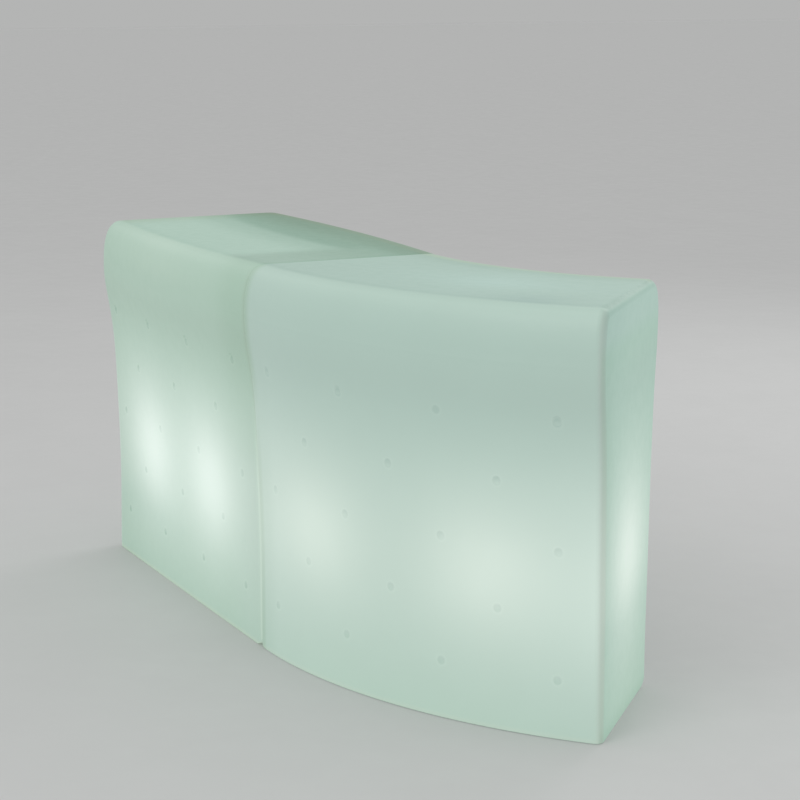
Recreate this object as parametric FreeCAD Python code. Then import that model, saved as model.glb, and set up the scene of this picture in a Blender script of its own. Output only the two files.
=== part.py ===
import FreeCAD, Part
import math
import os

from FreeCAD import Placement, Rotation, Vector

os.makedirs("parts", exist_ok=True)

# Lit bar counter in two hollow plastic bodies, millimetres, +Z up.
# The straight body faces -Y. The curved body goes on to its right and bends away towards +Y.
# While it is built, x = 0 is the seam and y = 0 is the straight body's front face at the floor;
# at the end everything moves so that the origin is under the middle of the whole counter.

# ---- driving dimensions ----
TOTAL_HEIGHT = 1100.0
PAD_HEIGHT = 3.0
WALL = 7.0
STRAIGHT_LENGTH = 1232.0
STRAIGHT_MIDDLE = 600.0
CURVE_RADIUS = 1550.0
CURVE_ANGLE = 45.0
SEAM_GAP = 0.4

# section, as depth behind the front face at the floor
BASE_DEPTH = 519.0
FRONT_CREASE = 17.0
FRONT_NOSE = -48.0
FRONT_NOSE_HEIGHT = 960.0
REAR_CREASE = 512.0
REAR_NOSE = 607.0
REAR_NOSE_HEIGHT = 995.0
NOSE_FULLNESS = 2.5
FRONT_WAIST = [(-33.0, 830.0), (-21.0, 743.0), (-11.0, 590.0), (-4.0, 420.0)]
FRONT_STRAIGHT_HEIGHT = 200.0
REAR_WAIST = [(580.0, 824.0), (562.0, 697.0), (550.0, 575.0), (531.0, 285.0)]
REAR_STRAIGHT_HEIGHT = 70.0
REAR_FOOT_RADIUS = 60.0
UNDERCUT = 100.0
FRONT_BOW = 38.0
REAR_BOW = 30.0
BOW_STATIONS = 5

# edges of the bodies
SEAM_EDGE_RADIUS = 13.0
SEAM_FOOT_RADIUS = 30.0
OUTER_END_RADIUS = 50.0
OUTER_END_LEAN = 34.0
RIGHT_END_RADIUS = 22.0
LEAST_RADIUS = 6.0

# shelf recess, in each body's own frame: x along the body, y from the front face to the back
POCKET_BACK = 320.0
POCKET_FLOOR = 100.0
POCKET_TOP = 1015.0
STRAIGHT_POCKET_HALF = 540.0
CURVED_POCKET_HALF = 305.0
POCKET_CORNER = 40.0
POCKET_BACK_CORNER = 18.0
POCKET_REACH = 420.0
MOUTH_RADIUS = 10.0

# dimples in the front face
DIMPLE_PITCH = 328.0
DIMPLE_TOP_ROW = 816.0
DIMPLE_ROW_STEP = 165.4
DIMPLE_ROWS = 5
DIMPLE_COUNTS = [4, 3]
DIMPLE_RADIUS = 11.0
DIMPLE_DEPTH = 1.6

# shelves
SHELF_TOPS = {"lower": 450.0, "upper": 735.0}
SHELF_THICK = 12.0
SHELF_DEPTH = 205.0
SHELF_SIDE_PLAY = 2.5
SHELF_BACK_PLAY = 3.0
SHELF_CORNER = 12.0
SHELF_EDGE = 1.0
REST_GAP = 0.3
RAIL_LEG = 20.0
RAIL_THICK = 2.0
SIDE_RAIL_LENGTH = 150.0
SIDE_RAIL_SCREWS = [375.0, 465.0]
BACK_RAIL_INSET = 80.0
BACK_RAIL_SCREW_INSET = 120.0
RAIL_SCREW_DROP = 11.0
INSERT_RADIUS = 4.0
INSERT_LENGTH = 10.0
SCREW_RADIUS = 2.0
SCREW_HEAD_RADIUS = 4.0
SCREW_HEAD_HEIGHT = 2.4
SCREW_REACH = 9.0
SCREW_SOCKET = 1.5
SCREW_PLAY = 0.05
BOSS_RADIUS = 8.0
BOSS_LENGTH = 13.0

# lamp hatch in the recess's back wall
OPENING_HALF = 150.0
OPENING_BOTTOM = 200.0
OPENING_TOP = 390.0
OPENING_CORNER = 10.0
HATCH_HALF = 172.0
HATCH_BOTTOM = 185.0
HATCH_TOP = 412.0
HATCH_THICK = 4.0
HATCH_CORNER = 14.0
HATCH_FIELD_INSET = 35.0
HATCH_FIELD_RISE = 1.5
SEAL_THICK = 1.5
SEAL_WIDTH = 8.0
SEAL_EDGE = 2.0
HINGE_Z = 178.0
HINGE_Y = POCKET_BACK + 3.8
DOOR_FRONT = POCKET_BACK + 1.8
DOOR_BACK = DOOR_FRONT + HATCH_THICK
HINGE_PIN_RADIUS = 1.5
HINGE_PIN_PLAY = 0.05
HINGE_BARREL_RADIUS = 3.2
HINGE_WALL_LEAF = 1.8
HINGE_DOOR_LEAF = 1.2
HINGE_HALF = 120.0
HINGE_KNUCKLES = 5
HINGE_LEAF_EDGE = 4.0
KNUCKLE_GAP = 0.4
WALL_LEAF_BOTTOM = 150.0
DOOR_LEAF_TOP = 212.0
HINGE_SCREW_STEP = 90.0
WALL_LEAF_SCREW_Z = 163.0
DOOR_LEAF_SCREW_Z = 201.0
MAGNET_X = 140.0
MAGNET_Z = 406.0
MAGNET_RADIUS = 4.0
MAGNET_DEEP = 5.0
STRIKER_RADIUS = 5.0
STRIKER_THICK = 0.8
PULL_Z = 390.0
PULL_HALF = 40.0
PULL_REACH = 20.0
PULL_RADIUS = 3.5

# lamps
LAMP_SPREAD = 250.0
LAMP_Y = 215.0
LAMP_BAR_Z = 150.0
LAMP_BAR_HALF = 300.0
LAMP_BAR_THICK = 2.0
LAMP_BAR_LEG = 40.0
LAMP_BAR_FRONT = 180.0
LAMP_BAR_SCREWS = [-280.0, -180.0, 180.0, 280.0]
LAMP_BAR_SCREW_Z = 130.0
HOLDER_RADIUS = 21.0
HOLDER_TOP = 262.0
CAP_RADIUS = 13.0
CAP_HEIGHT = 26.0
TUBE_RADIUS = 21.0
TUBE_WALL = 1.5
TUBE_FLAT = 1.0
TUBE_TOP = 542.0
BOX_HALF = 45.0
BOX_FRONT = 195.0
BOX_BACK = 270.0
BOX_TOP = 207.0
BOX_WALL = 2.0
LID_THICK = 3.0
LEAD_RADIUS = 3.5
LEAD_Z = 190.0
LEAD_SAG = 18.0
LEAD_BEND = 30.0
LEAD_END_GAP = 0.3
MAINS_LEAD_Y = 250.0

# mains inlet and switch
INLET_X = {"straight": 235.0, "curved": -235.0}
INLET_Z = 200.0
INLET_FLANGE_HALF = 17.0
INLET_FLANGE_TALL = 31.0
INLET_FLANGE_THICK = 2.5
INLET_HALF = 13.5
INLET_TALL = 24.0
INLET_DEEP = 32.0
SOCKET_Z = 189.0
SOCKET_HALF = 11.0
SOCKET_TALL = 7.5
SOCKET_DEEP = 18.0
PIN_PLACES = [(-6.5, -1.5), (0.0, 2.5), (6.5, -1.5)]
PIN_HALF = 1.0
PIN_TALL = 2.0
PIN_REACH = 11.0
PIN_ROOT = 5.0
ROCKER_Z = 212.0
ROCKER_Y = POCKET_BACK - 1.0
ROCKER_HALF = 8.5
ROCKER_TALL = 6.5
ROCKER_WINDOW_PLAY = 0.5
ROCKER_WINDOW_RISE = 1.4
ROCKER_DEEP = 6.0
ROCKER_PROUD = 2.0
ROCKER_BEND = 14.0
ROCKER_TILT = 7.0
ROCKER_AXLE = 1.2
ROCKER_AXLE_END = 10.5

# pads and joining plates
PAD_RADIUS = 22.0
PAD_RECESS = 2.2
PAD_HEAD_HEIGHT = 1.4
PAD_SCREW_REACH = 9.0
PAD_DEPTHS = [50.0, 420.0]
PAD_SPREAD = {"straight": [-510.0, 0.0, 480.0], "curved": [-485.0, 0.0, 485.0]}
PLATE_LENGTH = 150.0
PLATE_WIDTH = 50.0
PLATE_THICK = 2.5
PLATE_DEPTHS = [150.0, 320.0]
PLATE_SCREW_PLACES = [-55.0, -25.0, 25.0, 55.0]
PLATE_SCREW_RADIUS = 3.0
PLATE_HEAD_RADIUS = 5.5
PLATE_HEAD_HEIGHT = 1.4

RIGHT = Vector(1, 0, 0)
BACK = Vector(0, 1, 0)
UP = Vector(0, 0, 1)


def box(x0, x1, y0, y1, z0, z1):
    """A block from its lowest corner to its highest."""
    return Part.makeBox(x1 - x0, y1 - y0, z1 - z0, Vector(x0, y0, z0))


def rod(radius, start, direction, length):
    """A round bar from start along direction."""
    return Part.makeCylinder(radius, length, start, direction)


def rounded_plate(x0, x1, z0, z1, y0, y1, corner):
    """An upright plate in the XZ plane with round corners."""
    plate = box(x0, x1, y0, y1, z0, z1)
    corners = [edge for edge in plate.Edges
               if abs(edge.Vertexes[0].Point.y - edge.Vertexes[1].Point.y) > 0.5 * (y1 - y0)]
    return plate.makeFillet(corner, corners)


def join(shapes):
    """One solid from pieces that touch or overlap."""
    return shapes[0].multiFuse(shapes[1:]).removeSplitter()


# ---- section of the bodies ----

def nose_points(crease_y, nose_y, nose_z, top_z):
    """Points of the rounded nose from its widest place up to the crease of the top."""
    points = []
    for angle in (0.0, 18.0, 38.0, 58.0, 75.0, 90.0):
        turn = math.radians(angle)
        reach = math.cos(turn) ** (2.0 / NOSE_FULLNESS) if angle < 90.0 else 0.0
        rise = math.sin(turn) ** (2.0 / NOSE_FULLNESS)
        points.append((crease_y + (nose_y - crease_y) * reach, nose_z + (top_z - nose_z) * rise))
    return points


def smooth(points, start_tangent, end_tangent):
    """A smooth edge through points, with set directions at its ends."""
    curve = Part.BSplineCurve()
    curve.interpolate(Points=points, InitialTangent=start_tangent, FinalTangent=end_tangent)
    return curve.toShape()


def section(inset, x=0.0, front_bow=0.0, rear_bow=0.0):
    """Closed outline of a body in the plane at x, drawn in by inset; it runs on below the floor."""
    top = TOTAL_HEIGHT - inset

    def point(y, z):
        """A point of the outline; the bow grows with the square of the height."""
        share = (max(z, 0.0) / TOTAL_HEIGHT) ** 2
        shift = inset - front_bow * share if y < 0.5 * BASE_DEPTH else rear_bow * share - inset
        return Vector(x, y + shift, z)

    up = Vector(0, 0, 1)
    back = Vector(0, 1, 0)
    front_nose = nose_points(FRONT_CREASE, FRONT_NOSE, FRONT_NOSE_HEIGHT, top)
    rear_nose = nose_points(REAR_CREASE, REAR_NOSE, REAR_NOSE_HEIGHT, top)
    front_low = [(0.0, FRONT_STRAIGHT_HEIGHT)] + FRONT_WAIST[::-1] + front_nose[:1]
    rear_low = rear_nose[:1] + REAR_WAIST + [(BASE_DEPTH, REAR_STRAIGHT_HEIGHT)]
    front_low = [point(y, z) for y, z in front_low]
    rear_low = [point(y, z) for y, z in rear_low]
    front_high = [point(y, z) for y, z in front_nose]
    rear_high = [point(y, z) for y, z in rear_nose[::-1]]
    toe = Vector(x, front_low[0].y, -UNDERCUT)
    heel = Vector(x, rear_low[-1].y, -UNDERCUT)
    edges = [
        Part.makeLine(toe, front_low[0]),
        smooth(front_low, up, up),
        smooth(front_high, up, back),
        Part.makeLine(front_high[-1], rear_high[0]),
        smooth(rear_high, back, -up),
        smooth(rear_low, -up, -up),
        Part.makeLine(rear_low[-1], heel),
        Part.makeLine(heel, toe),
    ]
    return Part.Wire(edges)


def on_plane(edge, point, normal):
    """True where an edge lies in the plane."""
    middle = 0.5 * (edge.FirstParameter + edge.LastParameter)
    places = [edge.valueAt(place) for place in (edge.FirstParameter, middle, edge.LastParameter)]
    return all(abs((place - point).dot(normal)) < 0.05 for place in places)


def round_end(body, point, normal, radius):
    """Round the outline of one end face, all but its edge below the floor."""
    outline = [edge for edge in body.Edges if on_plane(edge, point, normal) and edge.BoundBox.ZMax > 0.0]
    return body.makeFillet(radius, outline)


def foot_face(corner, outward, radius):
    """What a quarter round leaves of a square corner at the floor, as a face to sweep and cut away."""
    spare = 5.0
    up = Vector(0, 0, 1)
    start = corner - outward * radius
    end = corner + up * radius
    middle = corner - (outward - up) * (radius * (1.0 - math.sqrt(0.5)))
    low_start = start - up * spare
    low_end = corner + (outward - up) * spare
    high_end = end + outward * spare
    edges = [
        Part.Arc(start, middle, end).toShape(),
        Part.makeLine(end, high_end),
        Part.makeLine(high_end, low_end),
        Part.makeLine(low_end, low_start),
        Part.makeLine(low_start, start),
    ]
    return Part.Face(Part.Wire(edges))


def on_floor(body, inset):
    """Cut a body off at its underside."""
    low = PAD_HEIGHT + inset
    return body.cut(box(-2000.0, 2000.0, -500.0, 2000.0, -UNDERCUT - 10.0, low))


def flat_top(body, height):
    """The same solid, with the face of its top as a true plane."""
    faces = []
    for face in body.Faces:
        bounds = face.BoundBox
        if bounds.ZMin > height - 0.01 and bounds.ZLength < 0.01:
            face = Part.Face(Part.Wire(Part.__sortEdges__(face.Edges)))
        faces.append(face)
    skin = Part.makeShell(faces)
    skin.sewShape()
    return Part.makeSolid(skin)


def straight_body(inset):
    """The straight body as a solid: straight at the floor, bowed to both sides at the top."""
    near = -0.5 * SEAM_GAP - inset
    far = -STRAIGHT_LENGTH + inset
    low = PAD_HEIGHT + inset
    wires = []
    for station in range(BOW_STATIONS):
        share = station / (BOW_STATIONS - 1.0)
        bow = 4.0 * share * (1.0 - share)
        wires.append(section(inset, near + (far - near) * share, FRONT_BOW * bow, REAR_BOW * bow))
    body = flat_top(Part.makeLoft(wires, True, False), TOTAL_HEIGHT - inset)
    lean = math.atan2(OUTER_END_LEAN, TOTAL_HEIGHT)
    end_point = Vector(far, 0, 0)
    end_normal = Vector(-math.cos(lean), 0, math.sin(lean))
    beyond_end = box(far - 300.0, far, -300.0, 900.0, -300.0, TOTAL_HEIGHT + 200.0)
    beyond_end.rotate(end_point, BACK, math.degrees(lean))
    body = body.cut(beyond_end)
    body = round_end(body, end_point, end_normal, OUTER_END_RADIUS - inset)
    body = round_end(body, Vector(near, 0, 0), RIGHT, max(SEAM_EDGE_RADIUS - inset, LEAST_RADIUS))
    body = on_floor(body, inset)
    across = BACK * 1200.0
    heel = foot_face(Vector(far - 100.0, BASE_DEPTH - inset, low), BACK, REAR_FOOT_RADIUS - inset)
    seam_foot = foot_face(Vector(near, -300.0, low), RIGHT, SEAM_FOOT_RADIUS - inset)
    end_foot = foot_face(Vector(far, -300.0, low), -RIGHT, OUTER_END_RADIUS - inset)
    feet = [heel.extrude(RIGHT * (STRAIGHT_LENGTH + 200.0)), seam_foot.extrude(across),
            end_foot.extrude(across)]
    return body.cut(feet).Solids[0]


def curved_body(inset):
    """The curved body as a solid: the section turned about the centre of the curve."""
    centre = Vector(0, CURVE_RADIUS, 0)
    low = PAD_HEIGHT + inset
    start = math.degrees((0.5 * SEAM_GAP + inset) / (CURVE_RADIUS - REAR_NOSE))
    end = CURVE_ANGLE - math.degrees(inset / (CURVE_RADIUS - 0.5 * BASE_DEPTH))
    face = Part.Face(section(inset))
    face.rotate(centre, UP, start)
    body = face.revolve(centre, UP, end - start)
    for angle, side, radius in ((start, -1.0, SEAM_EDGE_RADIUS), (end, 1.0, RIGHT_END_RADIUS)):
        turn = math.radians(angle)
        outward = Vector(math.cos(turn), math.sin(turn), 0) * side
        body = round_end(body, centre, outward, max(radius - inset, LEAST_RADIUS))
    body = on_floor(body, inset)
    heel = foot_face(Vector(0, BASE_DEPTH - inset, low), BACK, REAR_FOOT_RADIUS - inset)
    heel.rotate(centre, UP, -3.0)
    seam_foot = foot_face(Vector(0, -300.0, low), -RIGHT, SEAM_FOOT_RADIUS - inset).extrude(BACK * 1200.0)
    seam_foot.rotate(centre, UP, start)
    return body.cut([heel.revolve(centre, UP, CURVE_ANGLE + 6.0), seam_foot]).Solids[0]


# ---- shells ----

def moved(shape, placement):
    """A copy of the shape, carried over by the placement."""
    copy = shape.copy()
    copy.Placement = placement.multiply(copy.Placement)
    return copy


def straight_frame():
    """From the straight body's own frame, with x = 0 in its middle, to the counter's."""
    return Placement(Vector(-STRAIGHT_MIDDLE, 0, 0), Rotation())


def curved_frame():
    """From the curved body's own frame, with x = 0 in the middle of its arc, to the counter's."""
    turn = Rotation(UP, 0.5 * CURVE_ANGLE)
    centre = Vector(0, CURVE_RADIUS, 0)
    return Placement(centre - turn.multVec(centre), turn)


def along_front(distance, curved):
    """From the middle of a body's front to a place further along it, in the body's own frame."""
    if not curved:
        return Placement(Vector(distance, 0, 0), Rotation())
    turn = Rotation(UP, math.degrees(distance / CURVE_RADIUS))
    centre = Vector(0, CURVE_RADIUS, 0)
    return Placement(centre - turn.multVec(centre), turn)


def pocket(half, grow):
    """The shelf recess as a solid, grown by the wall for the hollow around it."""
    x = half + grow
    front = POCKET_BACK - grow
    block = box(-x, x, front, POCKET_BACK + POCKET_REACH, POCKET_FLOOR - grow, POCKET_TOP + grow)
    corners = [edge for edge in block.Edges if edge.BoundBox.YLength > POCKET_REACH - 1.0]
    block = block.makeFillet(POCKET_CORNER + grow, corners)
    rim = [edge for edge in block.Edges if edge.BoundBox.YMax < front + 1.0]
    return block.makeFillet(POCKET_BACK_CORNER + grow, rim)


def round_mouth(solid, half):
    """Round the edge where the recess opens through the rear face."""
    mouth = []
    for edge in solid.Edges:
        bounds = edge.BoundBox
        inside = max(-bounds.XMin, bounds.XMax) < half + 0.5
        inside = inside and bounds.ZMin > POCKET_FLOOR - 0.5 and bounds.ZMax < POCKET_TOP + 0.5
        if inside and bounds.YMin > POCKET_BACK + 0.4 * POCKET_REACH:
            mouth.append(edge)
    return solid.makeFillet(MOUTH_RADIUS, mouth)


def dimple_cutters(outer, curved):
    """Shallow round cutters in a staggered grid over the front face."""
    ball_radius = (DIMPLE_RADIUS ** 2 + DIMPLE_DEPTH ** 2) / (2.0 * DIMPLE_DEPTH)
    cutters = []
    for row in range(DIMPLE_ROWS):
        count = DIMPLE_COUNTS[row % 2]
        height = DIMPLE_TOP_ROW - row * DIMPLE_ROW_STEP
        for number in range(count):
            place = along_front((number - 0.5 * (count - 1)) * DIMPLE_PITCH, curved)
            start = place.multVec(Vector(0, -200.0, height))
            inward = place.Rotation.multVec(BACK)
            inside = Part.makeLine(start, start + inward * 400.0).common(outer)
            surface = min(inside.Vertexes, key=lambda vertex: vertex.Point.distanceToPoint(start)).Point
            cutters.append(Part.makeSphere(ball_radius, surface - inward * (ball_radius - DIMPLE_DEPTH)))
    return cutters


def rail_holes(half):
    """Where the shelf rails are screwed to the recess walls: a point of the wall and the way in."""
    places = []
    for top in SHELF_TOPS.values():
        height = top - SHELF_THICK - REST_GAP - RAIL_SCREW_DROP
        for y in SIDE_RAIL_SCREWS:
            places.append((Vector(-half, y, height), -RIGHT))
            places.append((Vector(half, y, height), RIGHT))
        for share in (-1.0, 0.0, 1.0):
            places.append((Vector(share * (half - BACK_RAIL_SCREW_INSET), POCKET_BACK, height), -BACK))
    return places


def hinge_holes():
    """Where the hinge's wall leaf is screwed to the recess's back wall."""
    steps = (-HINGE_SCREW_STEP, 0.0, HINGE_SCREW_STEP)
    return [(Vector(step, POCKET_BACK, WALL_LEAF_SCREW_Z), -BACK) for step in steps]


def shell(outer, inner, half, curved, inlet_x):
    """One moulded body: the hollow skin with its recess, bosses, dimples and holes."""
    wall_holes = rail_holes(half) + hinge_holes()
    bosses = [rod(BOSS_RADIUS, place, way, BOSS_LENGTH) for place, way in wall_holes]
    hollow = inner.cut([pocket(half, WALL)] + bosses)
    solid = round_mouth(outer.cut(pocket(half, 0.0)), half)
    front = POCKET_BACK - WALL - 1.0
    behind = POCKET_BACK + 1.0
    holes = [rod(INSERT_RADIUS + SCREW_PLAY, place, way, INSERT_LENGTH + 0.3) for place, way in wall_holes]
    holes.append(rounded_plate(-OPENING_HALF, OPENING_HALF, OPENING_BOTTOM, OPENING_TOP,
                               front, behind, OPENING_CORNER))
    inlet_half = INLET_HALF + SCREW_PLAY
    inlet_tall = INLET_TALL + SCREW_PLAY
    holes.append(box(inlet_x - inlet_half, inlet_x + inlet_half, front, behind,
                     INLET_Z - inlet_tall, INLET_Z + inlet_tall))
    for x in (-MAGNET_X, MAGNET_X):
        holes.append(rod(MAGNET_RADIUS + SCREW_PLAY, Vector(x, POCKET_BACK, MAGNET_Z), -BACK,
                         MAGNET_DEEP + 0.1))
    for x in LAMP_BAR_SCREWS:
        holes.append(rod(SCREW_RADIUS + SCREW_PLAY, Vector(x, front, LAMP_BAR_SCREW_Z), BACK, WALL + 2.0))
    for place in pad_places(curved):
        start = place.multVec(Vector(0, 0, PAD_HEIGHT - 1.0))
        holes.append(rod(SCREW_RADIUS + SCREW_PLAY, start, UP, PAD_SCREW_REACH + 2.0))
    return solid.cut([hollow] + dimple_cutters(outer, curved) + holes)


# ---- fasteners ----

def hex_prism(radius, place, way, length):
    """A six-sided bar, for the sockets of the screws."""
    side = Rotation(UP, way)
    corners = []
    for number in range(7):
        turn = math.radians(60.0 * number)
        corners.append(place + side.multVec(Vector(radius * math.cos(turn), radius * math.sin(turn), 0)))
    return Part.Face(Part.makePolygon(corners)).extrude(way * length)


def screw(place, way, head_radius, head_height, shank_radius, reach):
    """A screw with a socket head; place is under its head and way is the way it goes in."""
    head = rod(head_radius, place - way * head_height, way, head_height)
    rim = [edge for edge in head.Edges if on_plane(edge, place - way * head_height, way)]
    head = head.makeChamfer(0.3, rim)
    socket = hex_prism(SCREW_SOCKET, place - way * (head_height + 0.1), way, 0.6 * head_height)
    return join([head, rod(shank_radius, place, way, reach)]).cut(socket)


def wall_screw(place, way, seat):
    """The screw of a rail or leaf of thickness seat that lies against a wall at place."""
    return screw(place - way * seat, way, SCREW_HEAD_RADIUS, SCREW_HEAD_HEIGHT, SCREW_RADIUS,
                 SCREW_REACH + seat)


def insert(place, way):
    """The threaded brass insert moulded into a wall."""
    body = rod(INSERT_RADIUS, place, way, INSERT_LENGTH)
    waist = rod(INSERT_RADIUS + 1.0, place + way * 4.0, way, 2.0).cut(
        rod(INSERT_RADIUS - 0.6, place + way * 3.0, way, 4.0))
    return body.cut([rod(SCREW_RADIUS + SCREW_PLAY, place, way, INSERT_LENGTH), waist])


# ---- shelves and their rails ----

def shelf(half, top, curved):
    """A shelf board; the curved body's board follows the rear of the body in an arc."""
    x = half - SHELF_SIDE_PLAY
    front = POCKET_BACK + SHELF_BACK_PLAY
    rear = front + SHELF_DEPTH
    if curved:
        board = box(-x, x, front, rear + 100.0, top - SHELF_THICK, top)
        centre = Vector(0, CURVE_RADIUS, top - SHELF_THICK - 1.0)
        arc = rod(CURVE_RADIUS - rear, centre, UP, SHELF_THICK + 2.0)
        board = board.cut(arc)
    else:
        board = box(-x, x, front, rear, top - SHELF_THICK, top)
    uprights = [edge for edge in board.Edges if edge.BoundBox.ZLength > SHELF_THICK - 1.0]
    inner_edges = [edge for edge in uprights if edge.BoundBox.YMax < front + 1.0]
    board = board.makeFillet(POCKET_BACK_CORNER, inner_edges)
    uprights = [edge for edge in board.Edges
                if edge.BoundBox.ZLength > SHELF_THICK - 1.0 and edge.BoundBox.YMin > rear - 1.0]
    board = board.makeFillet(SHELF_CORNER, uprights)
    return board.makeChamfer(SHELF_EDGE, [edge for edge in board.Edges if edge.BoundBox.ZMin > top - 0.1])


def angle_rail(length):
    """An angle rail along x, its upright leg against y = 0 and its flat leg on top at z = 0."""
    half = 0.5 * length
    upright = box(-half, half, 0.0, RAIL_THICK, -RAIL_LEG, 0.0)
    flat = box(-half, half, 0.0, RAIL_LEG, -RAIL_THICK, 0.0)
    return join([upright, flat])


def shelf_rails(half):
    """Three rails under each shelf: one on the back wall and one on each side."""
    rails = []
    middle = 0.5 * (SIDE_RAIL_SCREWS[0] + SIDE_RAIL_SCREWS[-1])
    for top in SHELF_TOPS.values():
        height = top - SHELF_THICK - REST_GAP
        rails.append(moved(angle_rail(2.0 * (half - BACK_RAIL_INSET)),
                           Placement(Vector(0, POCKET_BACK, height), Rotation())))
        rails.append(moved(angle_rail(SIDE_RAIL_LENGTH),
                           Placement(Vector(-half, middle, height), Rotation(UP, -90.0))))
        rails.append(moved(angle_rail(SIDE_RAIL_LENGTH),
                           Placement(Vector(half, middle, height), Rotation(UP, 90.0))))
    holes = [rod(SCREW_RADIUS + SCREW_PLAY, place + way * 1.0, -way, RAIL_THICK + 2.0)
             for place, way in rail_holes(half)]
    return [rail.cut(holes) for rail in rails]


# ---- lamp hatch ----

def hatch_holes():
    """Where the door leaf is screwed to the hatch."""
    steps = (-HINGE_SCREW_STEP, 0.0, HINGE_SCREW_STEP)
    return [Vector(step, DOOR_BACK + HINGE_DOOR_LEAF, DOOR_LEAF_SCREW_Z) for step in steps]


def hatch():
    """The hatch plate with its raised field."""
    plate = rounded_plate(-HATCH_HALF, HATCH_HALF, HATCH_BOTTOM, HATCH_TOP, DOOR_FRONT, DOOR_BACK,
                          HATCH_CORNER)
    inset = HATCH_FIELD_INSET
    field = rounded_plate(-HATCH_HALF + inset, HATCH_HALF - inset, HATCH_BOTTOM + inset, HATCH_TOP - inset,
                          DOOR_BACK - 1.0, DOOR_BACK + HATCH_FIELD_RISE, HATCH_CORNER)
    rim = [edge for edge in field.Edges if edge.BoundBox.YMin > DOOR_BACK + HATCH_FIELD_RISE - 0.1]
    field = field.makeChamfer(HATCH_FIELD_RISE - 0.1, rim)
    holes = [rod(SCREW_RADIUS + SCREW_PLAY, place, -BACK, 20.0) for place in hatch_holes()]
    return join([plate, field]).cut(holes)


def hatch_seal():
    """The soft ring between the hatch and the wall."""
    x = OPENING_HALF + SEAL_EDGE
    low = OPENING_BOTTOM - SEAL_EDGE
    high = OPENING_TOP + SEAL_EDGE
    front = DOOR_FRONT - SEAL_THICK
    outer = rounded_plate(-x - SEAL_WIDTH, x + SEAL_WIDTH, low - SEAL_WIDTH, high + SEAL_WIDTH,
                          front, DOOR_FRONT, OPENING_CORNER + SEAL_WIDTH)
    inner = rounded_plate(-x, x, low, high, front - 1.0, DOOR_FRONT + 1.0, OPENING_CORNER)
    return outer.cut(inner)


def hinge_leaf(plate, tongue_z0, tongue_z1, first, screw_places):
    """A hinge leaf: its plate, with a tongue and a barrel at every second knuckle from first."""
    step = 2.0 * HINGE_HALF / HINGE_KNUCKLES
    bounds = plate.BoundBox
    pieces = [plate]
    for number in range(first, HINGE_KNUCKLES, 2):
        start = -HINGE_HALF + number * step + 0.5 * KNUCKLE_GAP
        end = start + step - KNUCKLE_GAP
        pieces.append(box(start, end, bounds.YMin, bounds.YMax, tongue_z0, tongue_z1))
        pieces.append(rod(HINGE_BARREL_RADIUS, Vector(start, HINGE_Y, HINGE_Z), RIGHT, end - start))
    bore = rod(HINGE_PIN_RADIUS + HINGE_PIN_PLAY, Vector(-HINGE_HALF - 5.0, HINGE_Y, HINGE_Z), RIGHT,
               2.0 * HINGE_HALF + 10.0)
    holes = [rod(SCREW_RADIUS + SCREW_PLAY, place + BACK * 5.0, -BACK, 15.0) for place in screw_places]
    return join(pieces).cut([bore] + holes)


def hinge_wall_leaf():
    """The leaf on the recess's back wall."""
    plate = box(-HINGE_HALF, HINGE_HALF, POCKET_BACK, POCKET_BACK + HINGE_WALL_LEAF,
                WALL_LEAF_BOTTOM, HINGE_Z - HINGE_LEAF_EDGE)
    return hinge_leaf(plate, HINGE_Z - HINGE_LEAF_EDGE, HINGE_Z, 0, [place for place, way in hinge_holes()])


def hinge_door_leaf():
    """The leaf on the hatch."""
    plate = box(-HINGE_HALF, HINGE_HALF, DOOR_BACK, DOOR_BACK + HINGE_DOOR_LEAF,
                HINGE_Z + HINGE_LEAF_EDGE, DOOR_LEAF_TOP)
    return hinge_leaf(plate, HINGE_Z, HINGE_Z + HINGE_LEAF_EDGE, 1, hatch_holes())


def hinge_pin():
    """The pin, with a head pressed up at both ends."""
    start = Vector(-HINGE_HALF, HINGE_Y, HINGE_Z)
    shaft = rod(HINGE_PIN_RADIUS, start - RIGHT * 1.2, RIGHT, 2.0 * HINGE_HALF + 2.4)
    heads = [rod(HINGE_PIN_RADIUS + 1.0, start - RIGHT * 1.2, RIGHT, 1.0),
             rod(HINGE_PIN_RADIUS + 1.0, start + RIGHT * (2.0 * HINGE_HALF + 0.2), RIGHT, 1.0)]
    return join([shaft] + heads)


def hatch_pull():
    """The bow handle of the hatch."""
    reach = DOOR_BACK + PULL_REACH
    bar = rod(PULL_RADIUS, Vector(-PULL_HALF, reach, PULL_Z), RIGHT, 2.0 * PULL_HALF)
    pieces = [bar]
    for x in (-PULL_HALF, PULL_HALF):
        pieces.append(rod(PULL_RADIUS, Vector(x, DOOR_BACK, PULL_Z), BACK, PULL_REACH))
        pieces.append(Part.makeSphere(PULL_RADIUS, Vector(x, reach, PULL_Z)))
        pieces.append(rod(PULL_RADIUS + 2.0, Vector(x, DOOR_BACK, PULL_Z), BACK, 1.5))
    return join(pieces)


# ---- lamps ----

def lamp_bar():
    """The bent sheet bar that carries the lamps and the junction box inside the body."""
    front = POCKET_BACK - WALL
    leg = box(-LAMP_BAR_HALF, LAMP_BAR_HALF, front - LAMP_BAR_THICK, front,
              LAMP_BAR_Z - LAMP_BAR_LEG, LAMP_BAR_Z)
    seat = box(-LAMP_BAR_HALF, LAMP_BAR_HALF, LAMP_BAR_FRONT, front, LAMP_BAR_Z - LAMP_BAR_THICK, LAMP_BAR_Z)
    holes = [rod(SCREW_RADIUS + SCREW_PLAY, Vector(x, front + 1.0, LAMP_BAR_SCREW_Z), -BACK,
                 LAMP_BAR_THICK + 2.0)
             for x in LAMP_BAR_SCREWS]
    return join([leg, seat]).cut(holes)


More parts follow.
